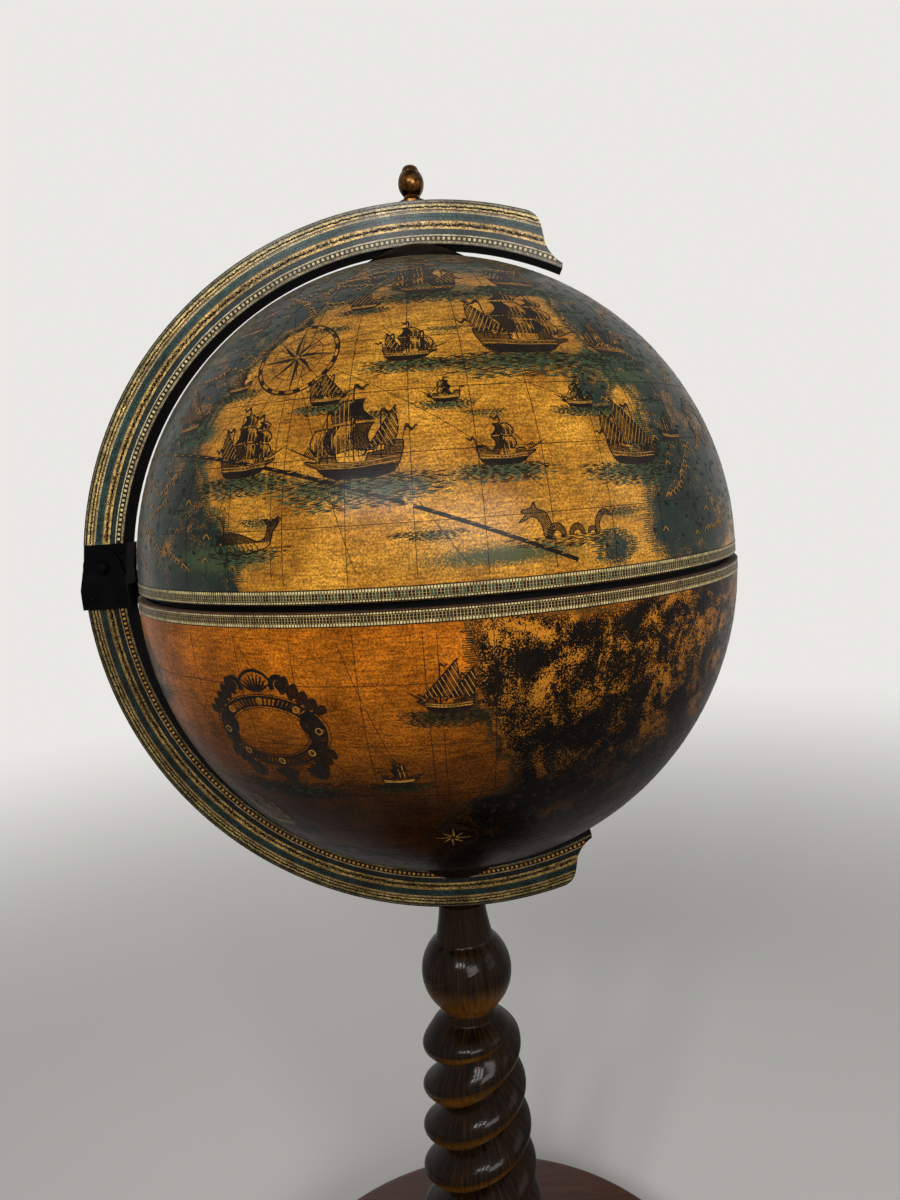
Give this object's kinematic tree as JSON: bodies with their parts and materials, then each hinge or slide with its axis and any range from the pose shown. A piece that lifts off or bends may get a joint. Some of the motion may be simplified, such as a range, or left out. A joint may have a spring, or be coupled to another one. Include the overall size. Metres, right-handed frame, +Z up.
{
  "type": "floor globe bar",
  "caption": "Floor-standing globe that opens at its equator as a drinks bar, held by meridian arcs on a twisted column over a round castored base.",
  "frame": {"origin": "on the column's axis at floor level, under the castors", "axes": "+Z up along the column; the arcs lie in the XZ plane with their hinge on the -X side, so the dome opens towards -X"},
  "size_m": [0.4496, 0.4, 0.9365],
  "materials": {
    "dark_walnut": "gloss lacquer",
    "red_brown_wood": "satin lacquer",
    "map_paper": "varnished paper over a pressed shell",
    "striped_paper": "varnished paper over wood",
    "deck_wood": "satin stain",
    "black_wood": "matt black",
    "black_steel": "black enamel",
    "zinc_steel": "zinc plated",
    "black_rubber": "moulded",
    "nylon": "moulded",
    "antique_brass": "antique lacquer"
  },
  "bodies": {
    "stand": {"base_disc": "red_brown_wood", "foot_collar": "dark_walnut", "column": "dark_walnut", "tie_rod": "zinc_steel", "tie_rod_washers": "zinc_steel", "tie_rod_nuts": "zinc_steel", "lower_arc": "striped_paper", "lower_boss": "dark_walnut", "thrust_washer": "nylon", "hinge_channel": "black_steel", "hinge_channel_screws": "black_steel", "hinge_bolt": "black_steel", "hinge_cap_nut": "black_steel", "hinge_buffer": "black_rubber", "castor_plates": "zinc_steel", "castor_plate_screws": "zinc_steel"},
    "lower_globe": {"bowl_shell": "map_paper", "bowl_hub": "deck_wood", "bowl_floor": "deck_wood", "tray_ledge": "deck_wood", "tray_deck": "deck_wood", "dust_lip": "black_wood"},
    "lid_arm": {"upper_arc": "striped_paper", "hinge_shoe": "black_steel", "hinge_shoe_screws": "black_steel", "upper_boss": "dark_walnut", "pivot_rod": "zinc_steel", "pivot_washer": "zinc_steel", "pivot_nut": "zinc_steel", "finial": "antique_brass"},
    "upper_globe": {"dome_shell": "map_paper", "dome_hub": "deck_wood"},
    "castor_1": {"castor_fork_1": "zinc_steel", "castor_axle_1": "zinc_steel"},
    "wheel_1": {"castor_wheel_1": "nylon"},
    "castor_2": {"castor_fork_2": "zinc_steel", "castor_axle_2": "zinc_steel"},
    "wheel_2": {"castor_wheel_2": "nylon"},
    "castor_3": {"castor_fork_3": "zinc_steel", "castor_axle_3": "zinc_steel"},
    "wheel_3": {"castor_wheel_3": "nylon"},
    "castor_4": {"castor_fork_4": "zinc_steel", "castor_axle_4": "zinc_steel"},
    "wheel_4": {"castor_wheel_4": "nylon"}
  },
  "joints": [
    {"name": "lid_hinge", "type": "hinge", "parent": "stand", "child": "lid_arm", "pos_m": [-0.2325, 0, 0.685], "axis": [0, -1, 0], "range_deg": [0, 94]},
    {"name": "lower_globe_spin", "type": "hinge", "parent": "stand", "child": "lower_globe", "pos_m": [0, 0, 0.665], "axis": [0, 0, 1], "continuous": true},
    {"name": "upper_globe_spin", "type": "hinge", "parent": "lid_arm", "child": "upper_globe", "pos_m": [0, 0, 0.675], "axis": [0, 0, 1], "continuous": true},
    {"name": "castor_swivel_1", "type": "hinge", "parent": "stand", "child": "castor_1", "pos_m": [0.10253, 0.10253, 0.042], "axis": [0, 0, 1], "continuous": true},
    {"name": "wheel_spin_1", "type": "hinge", "parent": "castor_1", "child": "wheel_1", "pos_m": [0.10253, 0.11653, 0.016], "axis": [-1, 0, 0], "continuous": true},
    {"name": "castor_swivel_2", "type": "hinge", "parent": "stand", "child": "castor_2", "pos_m": [-0.10253, 0.10253, 0.042], "axis": [0, 0, 1], "continuous": true},
    {"name": "wheel_spin_2", "type": "hinge", "parent": "castor_2", "child": "wheel_2", "pos_m": [-0.10253, 0.11653, 0.016], "axis": [-1, 0, 0], "continuous": true},
    {"name": "castor_swivel_3", "type": "hinge", "parent": "stand", "child": "castor_3", "pos_m": [-0.10253, -0.10253, 0.042], "axis": [0, 0, 1], "continuous": true},
    {"name": "wheel_spin_3", "type": "hinge", "parent": "castor_3", "child": "wheel_3", "pos_m": [-0.10253, -0.08853, 0.016], "axis": [-1, 0, 0], "continuous": true},
    {"name": "castor_swivel_4", "type": "hinge", "parent": "stand", "child": "castor_4", "pos_m": [0.10253, -0.10253, 0.042], "axis": [0, 0, 1], "continuous": true},
    {"name": "wheel_spin_4", "type": "hinge", "parent": "castor_4", "child": "wheel_4", "pos_m": [0.10253, -0.08853, 0.016], "axis": [-1, 0, 0], "continuous": true}
  ]
}
